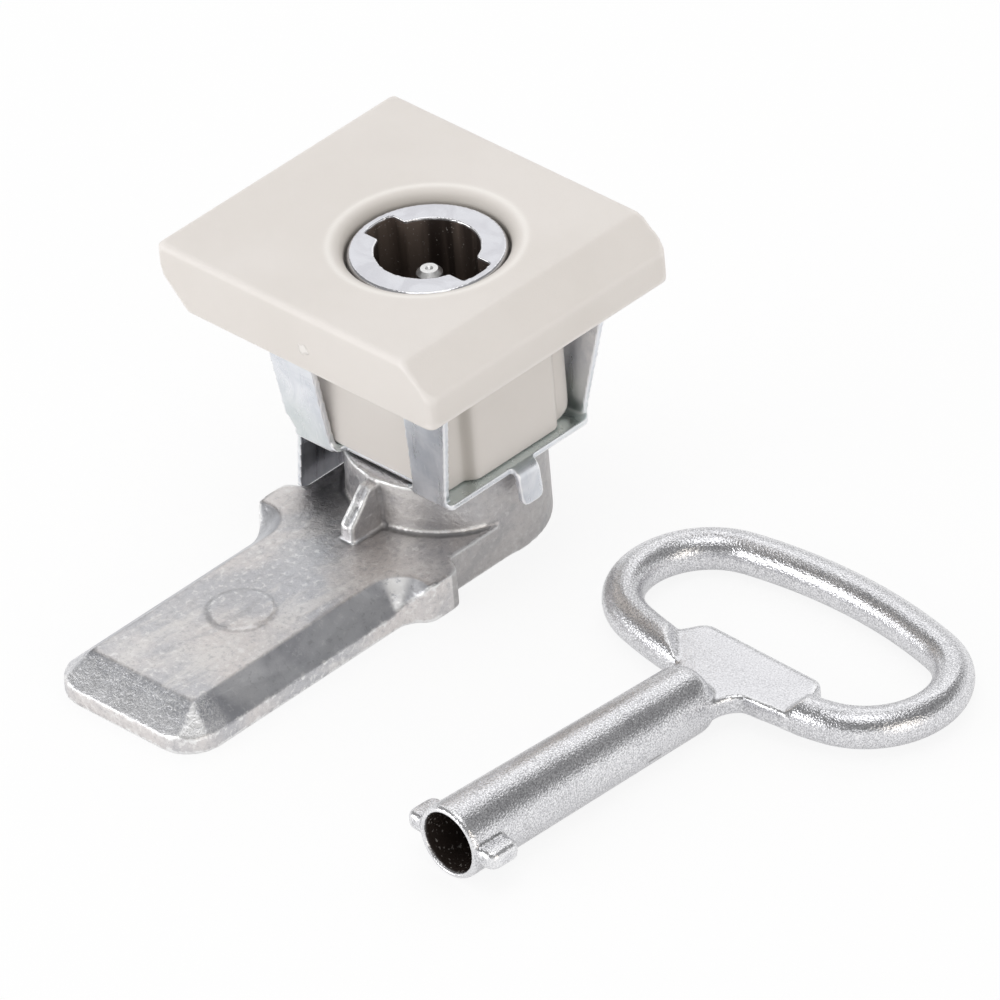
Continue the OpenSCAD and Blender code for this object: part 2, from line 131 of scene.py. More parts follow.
# %% [markdown]
# ## Room and floor
# The room is white at eye level, as a white background should be, and dims towards the ceiling.
# Light Path tells which ray asks. The camera sees plain white. Mirror-like and clear surfaces see
# the same white at eye level and a dark ceiling above it, which gives metal its contrast.
# The light that falls on matt surfaces comes from a ceiling that is only a little dimmer.

# %% Room
WALL_TOP, CEILING_FROM = 0.1, 0.45
LIT_CEILING, MIRRORED_CEILING = 0.6, 0.3
RANGE = ("From Min", "From Max", "To Min", "To Max")


def ceiling_level(nodes, links, height, darkest):
    level = nodes.new("ShaderNodeMapRange")
    level.interpolation_type = "SMOOTHSTEP"
    for key, number in zip(RANGE, (WALL_TOP, CEILING_FROM, 1.0, darkest)):
        level.inputs[key].default_value = number
    links.new(height, level.inputs["Value"])
    return level.outputs["Result"]


def any_of(nodes, links, rays):
    answer = rays[0]
    for ray in rays[1:]:
        either = nodes.new("ShaderNodeMath")
        either.operation = "MAXIMUM"
        links.new(answer, either.inputs[0])
        links.new(ray, either.inputs[1])
        answer = either.outputs[0]
    return answer


def white_room():
    world = bpy.data.worlds.new("studio")
    world.use_nodes = True
    scene.world = world
    nodes, links = world.node_tree.nodes, world.node_tree.links
    nodes.clear()
    output = nodes.new("ShaderNodeOutputWorld")
    direction = nodes.new("ShaderNodeTexCoord")
    split = nodes.new("ShaderNodeSeparateXYZ")
    links.new(direction.outputs["Generated"], split.inputs[0])
    ray = nodes.new("ShaderNodeLightPath").outputs
    lit = nodes.new("ShaderNodeBackground")
    seen = nodes.new("ShaderNodeBackground")
    pick = nodes.new("ShaderNodeMixShader")
    links.new(ceiling_level(nodes, links, split.outputs["Z"], LIT_CEILING), lit.inputs["Strength"])
    mirrored = ceiling_level(nodes, links, split.outputs["Z"], MIRRORED_CEILING)
    links.new(any_of(nodes, links, [mirrored, ray["Is Camera Ray"]]), seen.inputs["Strength"])
    for background in (lit, seen):
        background.inputs["Color"].default_value = (1, 1, 1, 1)
    looks = [ray["Is Camera Ray"], ray["Is Glossy Ray"], ray["Is Transmission Ray"]]
    links.new(any_of(nodes, links, looks), pick.inputs["Fac"])
    links.new(lit.outputs[0], pick.inputs[1])
    links.new(seen.outputs[0], pick.inputs[2])
    links.new(pick.outputs[0], output.inputs["Surface"])
    print("world nodes:", len(nodes))


white_room()

# %% [markdown]
# The floor is matt white paper. To the camera most of it is a plain white glow, and the rest is the
# lit paper, so the object still stands in a soft shadow. Metal sees more of the lit paper, so that
# its sides darken towards the floor that they stand on.

# %% Floor
FLOOR_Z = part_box("cam")[0].z
FLOOR_HALF = 3.0
PAPER = (0.95, 0.95, 0.95, 1)
GLOW_SEEN, GLOW_MIRRORED = 0.86, 0.4


def paper_finish():
    paint = bpy.data.materials.new("floor_paper")
    paint.use_nodes = True
    nodes, links = paint.node_tree.nodes, paint.node_tree.links
    nodes.clear()
    output = nodes.new("ShaderNodeOutputMaterial")
    matt = nodes.new("ShaderNodeBsdfDiffuse")
    matt.inputs["Color"].default_value = PAPER
    glow = nodes.new("ShaderNodeEmission")
    glow.inputs["Strength"].default_value = 1.0
    ray = nodes.new("ShaderNodeLightPath").outputs
    pick = nodes.new("ShaderNodeMixShader")
    plain = any_of(nodes, links, [ray["Is Camera Ray"], ray["Is Transmission Ray"]])
    shares = []
    for rays, amount in ((plain, GLOW_SEEN), (ray["Is Glossy Ray"], GLOW_MIRRORED)):
        share = nodes.new("ShaderNodeMath")
        share.operation = "MULTIPLY"
        share.inputs[1].default_value = amount
        links.new(rays, share.inputs[0])
        shares.append(share.outputs[0])
    links.new(any_of(nodes, links, shares), pick.inputs["Fac"])
    links.new(matt.outputs[0], pick.inputs[1])
    links.new(glow.outputs[0], pick.inputs[2])
    links.new(pick.outputs[0], output.inputs["Surface"])
    return paint


def paper_floor():
    mesh = bpy.data.meshes.new("floor")
    corners = [(x * FLOOR_HALF, y * FLOOR_HALF, FLOOR_Z) for x, y in ((-1, -1), (1, -1), (1, 1), (-1, 1))]
    mesh.from_pydata(corners, [], [(0, 1, 2, 3)])
    mesh.materials.append(paper_finish())
    in_scene("floor", mesh)


paper_floor()
scene.view_settings.view_transform = "Standard"
print("floor at", round(FLOOR_Z / MM, 2), "mm")

# %% [markdown]
# ## A small kit for finishes
# Each finish is a node tree. Patterns read Object coordinates in metres, so a noise of scale
# 400 has patches of about 2.5 mm on every piece, whatever its size.

# %% Finish kit
class Finish:
    def __init__(self, name, metal, roughness):
        self.paint = bpy.data.materials.new(name)
        self.paint.use_nodes = True
        self.tree = self.paint.node_tree
        self.shader = self.tree.nodes["Principled BSDF"]
        self.shader.inputs["Metallic"].default_value = metal
        self.shader.inputs["Roughness"].default_value = roughness
        self.place = self.add("ShaderNodeTexCoord").outputs["Object"]

    def add(self, kind, setup=None, **inputs):
        made = self.tree.nodes.new(kind)
        for key, value in (setup or {}).items():
            setattr(made, key, value)
        for key, value in inputs.items():
            socket = made.inputs[int(key[1:])] if key[0] == "_" else made.inputs[key.replace("_", " ")]
            self.fill(socket, value)
        return made

    def fill(self, socket, value):
        if isinstance(value, bpy.types.NodeSocket):
            self.tree.links.new(value, socket)
        elif isinstance(value, tuple) and len(value) == 3 and socket.type == "RGBA":
            socket.default_value = (*value, 1)
        else:
            socket.default_value = value

    def stretched(self, scale, turn=(0, 0, 0), shift=(0, 0, 0)):
        made = self.add("ShaderNodeMapping", Vector=self.place, Scale=scale, Rotation=turn, Location=shift)
        return made.outputs[0]

    def noise(self, scale, detail=3.0, rough=0.5, warp=0.0, where=None):
        made = self.add("ShaderNodeTexNoise", Vector=where or self.place, Scale=scale, Detail=detail,
                        Roughness=rough, Distortion=warp)
        return made.outputs["Fac"]

    def span(self, value, low, high, to_low=0.0, to_high=1.0):
        made = self.add("ShaderNodeMapRange", {"interpolation_type": "SMOOTHSTEP"}, Value=value)
        for key, number in zip(RANGE, (low, high, to_low, to_high)):
            self.fill(made.inputs[key], number)
        return made.outputs["Result"]

    def math(self, operation, a, b=0.0):
        return self.add("ShaderNodeMath", {"operation": operation}, _0=a, _1=b).outputs[0]

    def less(self, a, b):
        return self.math("SUBTRACT", a, b)

    def times(self, a, b):
        return self.math("MULTIPLY", a, b)

    def mix(self, share, a, b, blend="MIX"):
        made = self.add("ShaderNodeMix", {"data_type": "RGBA", "blend_type": blend}, _0=share, _6=a, _7=b)
        return made.outputs[2]

    def relief(self, height, depth_mm, below=None):
        made = self.add("ShaderNodeBump", Height=height, Distance=depth_mm * MM)
        if below is not None:
            self.fill(made.inputs["Normal"], below)
        return made.outputs["Normal"]

    def attribute(self, name):
        return self.add("ShaderNodeAttribute", {"attribute_name": name}).outputs["Fac"]

    def set(self, **inputs):
        for key, value in inputs.items():
            self.fill(self.shader.inputs[key.replace("_", " ")], value)


print("finish kit ready")

# %% [markdown]
# ## Grey plastic
# The housing is an injection moulding in a warm, very light grey. Its skin is a fine satin, so the
# roughness varies a little and a very fine grain breaks the highlight. Large soft clouds of tone,
# almost too weak to see, keep big faces from looking painted. The gate, where the plastic ran into
# the mould, left a small ragged mark on the front edge of the head. Values that are stored on the
# mesh later say where a point stands proud ("edge"), lies in a recess ("shade") or on its rim
# ("pale"). Proud edges get a painted highlight, creases and recesses painted shade,
# and the rim a painted highlight.

# %% Grey plastic
def grey_plastic(gate):
    f = Finish("grey_plastic", 0.0, 0.4)
    cloud = f.noise(60, 3)
    fleck = f.noise(2600, 2)
    tone = f.mix(f.span(cloud, 0.35, 0.65), (0.73, 0.687, 0.647), (0.757, 0.715, 0.678))
    tone = f.mix(f.span(fleck, 0.62, 0.8, 0, 0.12), tone, (0.66, 0.61, 0.56))
    # Proud edges get a painted highlight.
    tone = f.mix(f.span(f.attribute("edge"), 0.2, 0.9, 0, 0.55), tone, (0.88, 0.84, 0.81))
    # Creases get painted shade.
    tone = f.mix(f.span(f.attribute("edge"), -0.3, -0.9, 0, 0.35), tone, (0.5, 0.46, 0.42))
    # Painted shade where the mesh says "shade": the recess and the corner beside the guide pad.
    tone = f.mix(f.times(f.attribute("shade"), 0.8), tone, (0.34, 0.31, 0.27))
    # Painted highlight on the rim of the recess.
    tone = f.mix(f.times(f.attribute("pale"), 0.6), tone, (0.93, 0.9, 0.86))
    away = f.add("ShaderNodeVectorMath", {"operation": "DISTANCE"}, _0=f.place, _1=gate).outputs["Value"]
    ragged = f.math("ADD", away, f.times(f.less(f.noise(1100, 2), 0.5), 1.6 * MM))
    mark = f.span(ragged, 0.8 * MM, 0.45 * MM)
    tone = f.mix(f.times(mark, 0.5), tone, (0.93, 0.9, 0.87))
    f.set(Base_Color=tone, Roughness=f.span(f.noise(500, 4), 0.3, 0.7, 0.36, 0.5))
    grain = f.relief(f.noise(5200, 3, 0.6), 0.02)
    soft = f.relief(f.noise(180, 2), 0.05, grain)
    f.set(Normal=f.relief(mark, 0.12, soft))
    return f.paint


print("grey plastic: for the housing")

# %% [markdown]
# ## Plated sheet
# The clip is thin spring steel with a bluish zinc plating. Rolling and bending leave streaks along
# the sheet, handling leaves fine scratches, and the cut edges are rubbed bright and get a painted
# highlight. Where the mesh says "shade", the sheet gets painted shade.

# %% Plated sheet
def plated_sheet():
    f = Finish("zinc_plated_sheet", 1.0, 0.3)
    streak = f.noise(700, 5, 0.6, 0.4, f.stretched((1, 1, 0.12)))
    cloud = f.noise(220, 4, 0.6, 0.8)
    scratch = f.noise(2400, 2, 0.5, 0.2, f.stretched((1, 0.05, 0.18), (0.5, 0.3, 0.6)))
    tone = f.mix(f.span(cloud, 0.32, 0.68), (0.68, 0.71, 0.76), (0.85, 0.865, 0.9))
    tone = f.mix(f.span(f.noise(70, 2), 0.45, 0.65, 0, 0.6), tone, (0.66, 0.71, 0.69))
    tone = f.mix(f.span(streak, 0.45, 0.62, 0, 0.22), tone, (0.92, 0.93, 0.96))
    tone = f.mix(f.span(scratch, 0.66, 0.72, 0, 0.35), tone, (0.96, 0.96, 0.98))
    # Painted highlight on the edges, on top of their rubbed brightness.
    edge = f.span(f.attribute("edge"), 0.3, 0.8)
    tone = f.mix(edge, tone, (0.95, 0.95, 0.97))
    tone = f.mix(f.times(f.attribute("base"), 0.75), tone, (0.64, 0.73, 0.72))
    # Painted shade on the inside of the flap.
    tone = f.mix(f.attribute("shade"), tone, f.mix(streak, (0.1, 0.105, 0.12), (0.34, 0.35, 0.38)))
    f.set(Base_Color=tone, Roughness=f.span(streak, 0.3, 0.7, 0.24, 0.4))
    fine = f.relief(f.noise(3000, 3), 0.012)
    f.set(Normal=f.relief(streak, 0.018, f.relief(scratch, 0.012, fine)))
    return f.paint


print("plated sheet: for the clip, the washer and the screw")

# %% [markdown]
# ## Bright chrome
# The insert is chrome plated. Its flat rim shows faint turning rings, and its edges get a painted
# highlight. The plating hardly reaches the bottom of the key socket, and the walls are painted dark
# brown with depth, a painted shade with paler vertical streaks as painted reflections, which makes
# the socket read as a deep hole. The dark part is told from the rim by radius and depth.

# %% Bright chrome
NOTCH_R = 7.9


def bright_chrome(rim_z):
    f = Finish("bright_chrome", 1.0, 0.14)
    parts = f.add("ShaderNodeSeparateXYZ", Vector=f.place).outputs
    squares = [f.math("POWER", parts[axis], 2.0) for axis in "XY"]
    radius = f.math("SQRT", f.math("ADD", *squares))
    inside = f.span(radius, (NOTCH_R + 0.15) * MM, (NOTCH_R + 0.05) * MM)
    deep = f.span(parts["Z"], rim_z - 0.12 * MM, rim_z - 0.35 * MM)
    socket = f.times(inside, deep)
    # Painted shade in the socket: dark brown walls with paler vertical streaks as painted reflections.
    band = f.noise(330, 3, 0.5, 0.6, f.stretched((1, 1, 0.08)))
    wall = f.mix(f.span(band, 0.36, 0.64), (0.045, 0.033, 0.028), (0.2, 0.155, 0.13))
    speck = f.span(f.noise(3600, 2), 0.68, 0.74)
    wall = f.mix(speck, wall, (0.6, 0.57, 0.54))
    cloud = f.noise(260, 4, 0.6, 0.8)
    rim = f.mix(f.span(cloud, 0.35, 0.65), (0.58, 0.58, 0.615), (0.67, 0.675, 0.71))
    # Painted highlight on the proud edges of the rim.
    rim = f.mix(f.span(f.attribute("edge"), 0.25, 0.8), rim, (0.9, 0.9, 0.92))
    f.set(Base_Color=f.mix(socket, rim, wall), Metallic=f.less(1.0, f.times(socket, 0.6)))
    f.set(Roughness=f.mix(socket, f.span(cloud, 0.3, 0.7, 0.12, 0.24), (0.4, 0.4, 0.4)))
    outward = f.add("ShaderNodeCombineXYZ", X=f.times(radius, 5000.0)).outputs[0]
    rings = f.noise(1, 2, 0.5, 0.0, outward)
    f.set(Normal=f.relief(rings, 0.004, f.relief(f.noise(900, 3), 0.006)))
    return f.paint


print("bright chrome: for the insert")

# %% [markdown]
# ## Raw zinc
# The cam is a die-casting that was never plated. The flat of the arm is a mottled warm and cool grey
# with flow marks along the arm. The sloped faces are coarse, and their darker tone is painted shade.
# Every edge has bright little chips where the flash was knocked off, partly a painted highlight, and
# the creases get painted shade. Values stored on the mesh steer this: "edge", how proud a point
# stands, "slope", whether its face is tilted, "corner", the facet between two slopes, which gets a
# painted highlight, "pale" and "shade", where the hub and the flat get painted
# highlight and painted shade.

# %% Raw zinc
ARM_END_Y = -45.0 * MM


def zinc_patterns(f):
    return {
        "flow": f.noise(240, 6, 0.62, 0.9, f.stretched((1, 0.35, 1))),
        "cloud": f.noise(75, 4, 0.55, 0.6),
        "wisp": f.noise(1250, 5, 0.66, 0.25),
        "grain": f.noise(3500, 2, 0.6),
        "hair": f.math("ABSOLUTE", f.less(f.noise(1500, 3, 0.6, 1.2), 0.5)),
        "patch": f.noise(150, 3),
    }


def flat_zinc(f, seen):
    flow, wisp = seen["flow"], seen["wisp"]
    flat = f.mix(f.span(seen["cloud"], 0.38, 0.62), (0.75, 0.715, 0.705), (0.58, 0.58, 0.605))
    flat = f.mix(f.span(flow, 0.48, 0.64, 0, 0.75), flat, (0.84, 0.82, 0.81))
    flat = f.mix(f.span(flow, 0.46, 0.34, 0, 0.55), flat, (0.5, 0.495, 0.51))
    flat = f.mix(f.span(wisp, 0.48, 0.34, 0, 0.4), flat, (0.4, 0.4, 0.42))
    flat = f.mix(f.span(wisp, 0.54, 0.64, 0, 0.55), flat, (0.94, 0.93, 0.92))
    flat = f.mix(f.span(seen["hair"], 0.02, 0.006, 0, 0.3), flat, (0.95, 0.94, 0.93))
    # Painted highlight on the hub beside the rib and on the crest of the bead.
    flat = f.mix(f.times(f.attribute("pale"), 0.9), flat, (0.97, 0.95, 0.92))
    return f.mix(f.span(seen["grain"], 0.4, 0.25, 0, 0.35), flat, (0.4, 0.395, 0.4))


def sloped_zinc(f, seen, end, height):
    wisp = seen["wisp"]
    foot = f.span(height, FLOOR_Z + 2 * MM, FLOOR_Z + 4.8 * MM)
    # The slopes get a darker tone than the flat, which is painted shade.
    rough = f.mix(f.span(seen["patch"], 0.38, 0.62), (0.44, 0.45, 0.49), (0.66, 0.67, 0.7))
    rough = f.mix(f.span(wisp, 0.54, 0.68, 0, 0.4), rough, (0.82, 0.82, 0.84))
    rough = f.mix(f.span(wisp, 0.44, 0.32, 0, 0.35), rough, (0.34, 0.345, 0.36))
    rough = f.mix(f.times(end, f.span(foot, 1.0, 0.1, 0, 0.5)), rough, (0.84, 0.84, 0.86))
    rough = f.mix(f.times(end, f.span(seen["hair"], 0.05, 0.012, 0, 0.85)), rough, (0.97, 0.97, 0.98))
    rough = f.mix(f.times(end, f.span(seen["grain"], 0.4, 0.28, 0, 0.3)), rough, (0.26, 0.26, 0.28))
    # The corner facet between two slopes gets a painted highlight.
    return f.mix(f.times(f.attribute("corner"), f.span(wisp, 0.3, 0.46)), rough, (0.98, 0.98, 0.98))


def raw_zinc():
    f = Finish("raw_zinc", 1.0, 0.4)
    place = f.add("ShaderNodeSeparateXYZ", Vector=f.place).outputs
    seen = zinc_patterns(f)
    slope, edge = f.attribute("slope"), f.attribute("edge")
    end = f.times(slope, f.span(place["Y"], ARM_END_Y, ARM_END_Y - 2 * MM))
    tone = f.mix(f.times(slope, 0.85), flat_zinc(f, seen), sloped_zinc(f, seen, end, place["Z"]))
    # Bright chips along proud edges, partly a painted highlight.
    chip_and_highlight = f.math("ADD", edge, f.times(f.less(seen["wisp"], 0.5), 2.2))
    tone = f.mix(f.span(chip_and_highlight, 0.3, 0.8, 0, 0.9), tone, (0.93, 0.93, 0.93))
    # Creases and sunk points get painted shade.
    tone = f.mix(f.span(edge, -0.12, -0.6, 0, 0.7), tone, (0.24, 0.235, 0.24))
    # Painted shade where the mesh says "shade": the hub's right walls, beside the flap, under the bead.
    tone = f.mix(f.times(f.attribute("shade"), 0.6), tone, (0.3, 0.29, 0.29))
    f.set(Base_Color=tone, Roughness=f.span(seen["flow"], 0.3, 0.7, 0.3, 0.46))
    calm = f.less(1.0, f.times(f.less(slope, f.times(end, 1.3)), 0.5))
    fine = f.relief(f.times(seen["grain"], calm), 0.035)
    middle = f.relief(f.times(seen["wisp"], calm), 0.09, fine)
    f.set(Normal=f.relief(seen["flow"], 0.16, middle))
    return f.paint


print("raw zinc: for the cam")

# %% [markdown]
# ## Satin chrome
# The key is chrome over a blasted casting: thousands of tiny facets that each mirror the studio.
# Seen from near, it sparkles, white where the light falls and with dark specks where the facets
# turn to the dark ceiling. So the surface is quite smooth, and the sparkle comes from a fine, steep
# relief and from white and dark specks painted into the colour as painted highlights and painted
# shade. Proud edges get a painted highlight, the necks and the bore painted shade. The mesh says
# where the grain is weaker ("calm"), where the bore is ("hollow") and where the nick is ("nick").

# %% Satin chrome
def satin_chrome():
    f = Finish("satin_chrome", 1.0, 0.18)
    blast = f.noise(4600, 1, 0.5)
    calm = f.attribute("calm")
    cloud = f.noise(130, 3)
    tone = f.mix(f.span(cloud, 0.35, 0.65), (0.69, 0.69, 0.715), (0.75, 0.75, 0.775))
    busy = f.less(1.0, f.times(calm, 0.55))
    speck = f.noise(5600, 1, 0.5)
    # Painted dark specks and white glints: a painted sparkle on top of the relief.
    tone = f.mix(f.times(busy, f.span(speck, 0.47, 0.36, 0, 0.62)), tone, (0.38, 0.38, 0.39))
    tone = f.mix(f.times(busy, f.span(speck, 0.53, 0.63, 0, 0.75)), tone, (0.97, 0.97, 0.98))
    # Painted highlight on proud edges.
    tone = f.mix(f.span(f.attribute("edge"), 0.35, 0.9, 0, 0.5), tone, (0.93, 0.93, 0.94))
    tone = f.mix(f.attribute("nick"), tone, (0.2, 0.2, 0.2))
    # Painted shade in the hollow necks.
    neck = f.times(f.span(f.attribute("edge"), -0.25, -0.8), f.span(blast, 0.6, 0.4))
    tone = f.mix(f.times(neck, 0.6), tone, (0.25, 0.25, 0.25))
    # Painted shade in the bore, on top of its thinner plating.
    bore_shade_tone = f.mix(f.span(f.noise(2500, 2), 0.62, 0.72), (0.05, 0.038, 0.032), (0.5, 0.47, 0.44))
    hollow = f.attribute("hollow")
    f.set(Base_Color=f.mix(hollow, tone, bore_shade_tone), Roughness=f.span(cloud, 0.3, 0.7, 0.13, 0.2))
    f.set(Metallic=f.less(1.0, f.times(hollow, 0.6)))
    f.set(Normal=f.relief(f.times(blast, busy), 0.058, f.relief(cloud, 0.12)))
    return f.paint


print("satin chrome: for the key")

# %% [markdown]
# ## Rubber and plain steel
# The seals are matt black rubber with a dusty skin. The disc spring, the retaining ring and the pin
# in the socket are plain steel with the fine rings that turning or stamping leaves.

# %% Rubber and plain steel
def seal_rubber():
    f = Finish("seal_rubber", 0.0, 0.7)
    dust = f.noise(700, 5, 0.65)
    f.set(Base_Color=f.mix(f.span(dust, 0.45, 0.8), (0.02, 0.02, 0.021), (0.07, 0.068, 0.065)))
    f.set(Roughness=f.span(dust, 0.3, 0.7, 0.6, 0.85), Normal=f.relief(f.noise(3500, 3), 0.02))
    return f.paint


def plain_steel():
    f = Finish("plain_steel", 1.0, 0.28)
    rings = f.noise(1800, 3, 0.5, 0.0, f.stretched((1, 1, 0.15)))
    f.set(Base_Color=f.mix(f.span(rings, 0.35, 0.7), (0.8, 0.795, 0.79), (0.96, 0.96, 0.96)))
    f.set(Roughness=f.span(rings, 0.3, 0.7, 0.3, 0.46), Normal=f.relief(rings, 0.02))
    return f.paint


RIM_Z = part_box("key_insert")[1].z
GATE = (-1.0 * MM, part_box("housing")[0].y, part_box("housing")[1].z - 4.7 * MM)
FINISH = {
    "grey_plastic": grey_plastic(GATE),
    "seal_rubber": seal_rubber(),
    "zinc_plated_sheet": plated_sheet(),
    "bright_chrome": bright_chrome(RIM_Z),
    "plain_steel": plain_steel(),
    "raw_zinc": raw_zinc(),
    "satin_chrome": satin_chrome(),
}
print("finishes:", ", ".join(FINISH))

# %% [markdown]
# ## Solids that stay
# A solid whose shape is right stays in view and only gets its finish. The record says which
# material slot each one has.

# %% Finishes on the solids
SLOT = {part["node"]: part["material_slot"] for part in frame["record"]["subparts"]}
BODY = {name: body for body, names in frame["record"]["behaviour"]["bodies"].items() for name in names}
for name, solid in frame["nodes"].items():
    solid.data.materials.clear()
    solid.data.materials.append(FINISH[SLOT[name]])
print(len(SLOT), "solids finished")

# %% [markdown]
# ## From solid to casting
# A die-casting has no sharp edge. The solid is copied, its doubles are merged, and it is rebuilt
# as an even skin of small squares, which a few rounds of smoothing turn into soft edges and
# fillets. An even skin also lets us measure on each point how proud it stands. The table gives the
# size of the squares in millimetres and the rounds: crisp sheet gets few, the soft key many.

# %% Skin helpers
SKIN = {
    "housing": (0.32, 3),
    "cam": (0.27, 3),
    "spring_clip": (0.165, 2),
    "key_insert": (0.2, 2),
    "key": (0.22, 9),
}


def plain_copy(node, name):
    mesh = frame["nodes"][node].data.copy()
    mesh.name = name
    kit = bmesh.new()
    kit.from_mesh(mesh)
    bmesh.ops.remove_doubles(kit, verts=kit.verts, dist=1e-6)
    kit.to_mesh(mesh)
    kit.free()
    return in_scene(name, mesh)


def baked(piece):
    bpy.context.view_layer.update()
    graph = bpy.context.evaluated_depsgraph_get()
    mesh = bpy.data.meshes.new_from_object(piece.evaluated_get(graph))
    piece.modifiers.clear()
    old, piece.data = piece.data, mesh
    bpy.data.meshes.remove(old)
    mesh.name = piece.name
    return mesh


def reskin(piece, node):
    square, rounds = SKIN[node]
    remesh = piece.modifiers.new("skin", "REMESH")
    remesh.mode = "VOXEL"
    remesh.voxel_size = square * MM
    remesh.use_smooth_shade = True
    smooth = piece.modifiers.new("soften", "SMOOTH")
    smooth.factor = 0.5
    smooth.iterations = rounds
    mesh = baked(piece)
    print(piece.name, "has", len(mesh.polygons), "faces")
    return mesh


print("squares of the skins in mm:", {node: square for node, (square, rounds) in SKIN.items()})

# %% [markdown]
# How proud a point stands follows from its neighbours: on an edge it lies above their mean, and in a
# crease below it. The distance is taken along the normal, evened out twice, and scaled so that
# nearly all values lie between -1 and 1. It is stored on the mesh for the finishes to read.

# %% Point measures
NEARLY_ALL = 98


def point_arrays(mesh):
    count = len(mesh.vertices)
    place, normal = np.empty(count * 3), np.empty(count * 3)
    mesh.vertices.foreach_get("co", place)
    mesh.vertices.foreach_get("normal", normal)
    ends = np.empty(len(mesh.edges) * 2, dtype=np.int64)
    mesh.edges.foreach_get("vertices", ends)
    return place.reshape(-1, 3), normal.reshape(-1, 3), ends.reshape(-1, 2)


def neighbour_mean(values, ends, count):
    a, b = ends[:, 0], ends[:, 1]
    share = np.bincount(np.concatenate([a, b]), minlength=count).clip(1)
    total = np.bincount(a, values[b], count) + np.bincount(b, values[a], count)
    return total / share


def store(mesh, name, values):
    layer = mesh.attributes.new(name, "FLOAT", "POINT")
    layer.data.foreach_set("value", values.astype(np.float32))


def ramp(values, start, width):
    return np.clip((values - start) / width, 0, 1)


def bump_at(values, middle, width):
    return np.exp(-(((values - middle) / width) ** 2))


def proudness(mesh, rounds=2):
    place, normal, ends = point_arrays(mesh)
    count = len(place)
    mean = np.stack([neighbour_mean(place[:, i], ends, count) for i in range(3)], 1)
    proud = ((place - mean) * normal).sum(1)
    for _ in range(rounds):
        proud = 0.5 * proud + 0.5 * neighbour_mean(proud, ends, count)
    proud /= np.percentile(np.abs(proud), NEARLY_ALL)
    return place, normal, proud.clip(-1, 1)


def mark_edges(mesh):
    place, normal, proud = proudness(mesh)
    store(mesh, "edge", proud)
    return place, normal


print("the largest", 100 - NEARLY_ALL, "percent of the values are cut to one")

# %% [markdown]
# A finished piece takes the place of its solid, gets that solid's finish, and rides on the same
# body. Smoothing can push a point out of the solid's box by a hair, so the points are clipped to it.

# %% Finished pieces
def held_inside(mesh, node):
    low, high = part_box(node)
    place = np.empty(len(mesh.vertices) * 3)
    mesh.vertices.foreach_get("co", place)
    place = place.reshape(-1, 3).clip(np.array(low), np.array(high))
    mesh.vertices.foreach_set("co", place.ravel())
    mesh.update()


def finished(piece, node):
    held_inside(piece.data, node)
    piece.data.materials.clear()
    piece.data.materials.append(FINISH[SLOT[node]])
    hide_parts(node)
    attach(piece, BODY[node])


# %% [markdown]
# ## The housing
# Head and body are one moulding, and a mould leaves every edge a little round. A skin with three
# rounds of smoothing does the same, and the edges get a thin painted highlight. The corner beside
# the guide pad and the rolled recess round the insert get painted shade, and the recess a rim of
# painted highlight.

# %% Housing moulding
PAD_END_Y, SIDE_X, SEAT_Z = -6.6, 9.9, -0.5
RECESS_FROM, RECESS_TO, RECESS_RIM = 9.1, 10.7, 11.0
HEAD_INSIDE_Z, HEAD_OUTSIDE_Z = 5.5, 6.5


def housing_moulding():
    piece = plain_copy("housing", "housing_moulding")
    mesh = reskin(piece, "housing")
    place, normal = mark_edges(mesh)
    x, y, z = place.T / MM
    beside_pad = bump_at(y, PAD_END_Y, 0.75) * (np.abs(x) > SIDE_X) * (z < SEAT_Z)
    from_axis = np.hypot(x, y)
    in_recess = (1 - ramp(from_axis, RECESS_TO - 1.4, 1.4)) ** 1.5
    in_recess *= (from_axis > RECESS_FROM) * (z > HEAD_INSIDE_Z)
    # Painted shade beside the guide pad and in the recess; painted highlight on the rim of the recess.
    store(mesh, "shade", np.maximum(0.75 * beside_pad, 0.85 * in_recess))
    store(mesh, "pale", bump_at(from_axis, RECESS_RIM, 0.35) * (z > HEAD_OUTSIDE_Z))
    finished(piece, "housing")


housing_moulding()

# %% [markdown]
# ## The cam
# The hub, the arm with its sloped edges, the ears and the stop rib are one casting. The slopes are
# told by their normals: neither level nor upright. The crease above a slope gets painted shade, so
# its points are marked as sunk, while all other edges are marked as proud and get bright chips,
# partly a painted highlight.

# %% Slopes of the cam
FLAT_Z = FLOOR_Z / MM + 4.95
HUB_R, ARM_FROM_Y = 11.4, -14
PAD_Y, PAD_R = -32.7, 5


def cam_slopes(mesh, normal, x, y):
    arm = y < ARM_FROM_Y
    tilted = ramp(normal[:, 2], 0.45, 0.15) * (1 - ramp(normal[:, 2], 0.85, 0.08)) * arm
    store(mesh, "slope", tilted)
    facing = np.degrees(np.arctan2(normal[:, 0], -normal[:, 1]))
    # The facet between two slopes is marked for a painted highlight.
    store(mesh, "corner", ramp(facing, 18, 14) * (1 - ramp(facing, 62, 14)) * tilted)
    print("points on slopes:", int((tilted > 0.5).sum()))


def sunk_crease(normal, x, y, z):
    level = (normal[:, 2] > 0.8) & (z > FLAT_Z - 0.7) & (z < FLAT_Z + 0.05)
    return level & (y < ARM_FROM_Y) & (np.hypot(x, y - PAD_Y) > PAD_R)


print("flat of the arm at", round(FLAT_Z, 2), "mm")

# %% [markdown]
# The mould's joint left a bead round the root of the hub; its crest gets a painted highlight and the
# crease below it painted shade. The hub beside the rib gets a painted highlight, its walls that face
# right get painted shade, and so does a patch of the flat beside the flap.

# %% Marks on the hub
RIB_X = 1.8
BEAD_TO_Y = -4.6
UNDER_RIM = 4.7


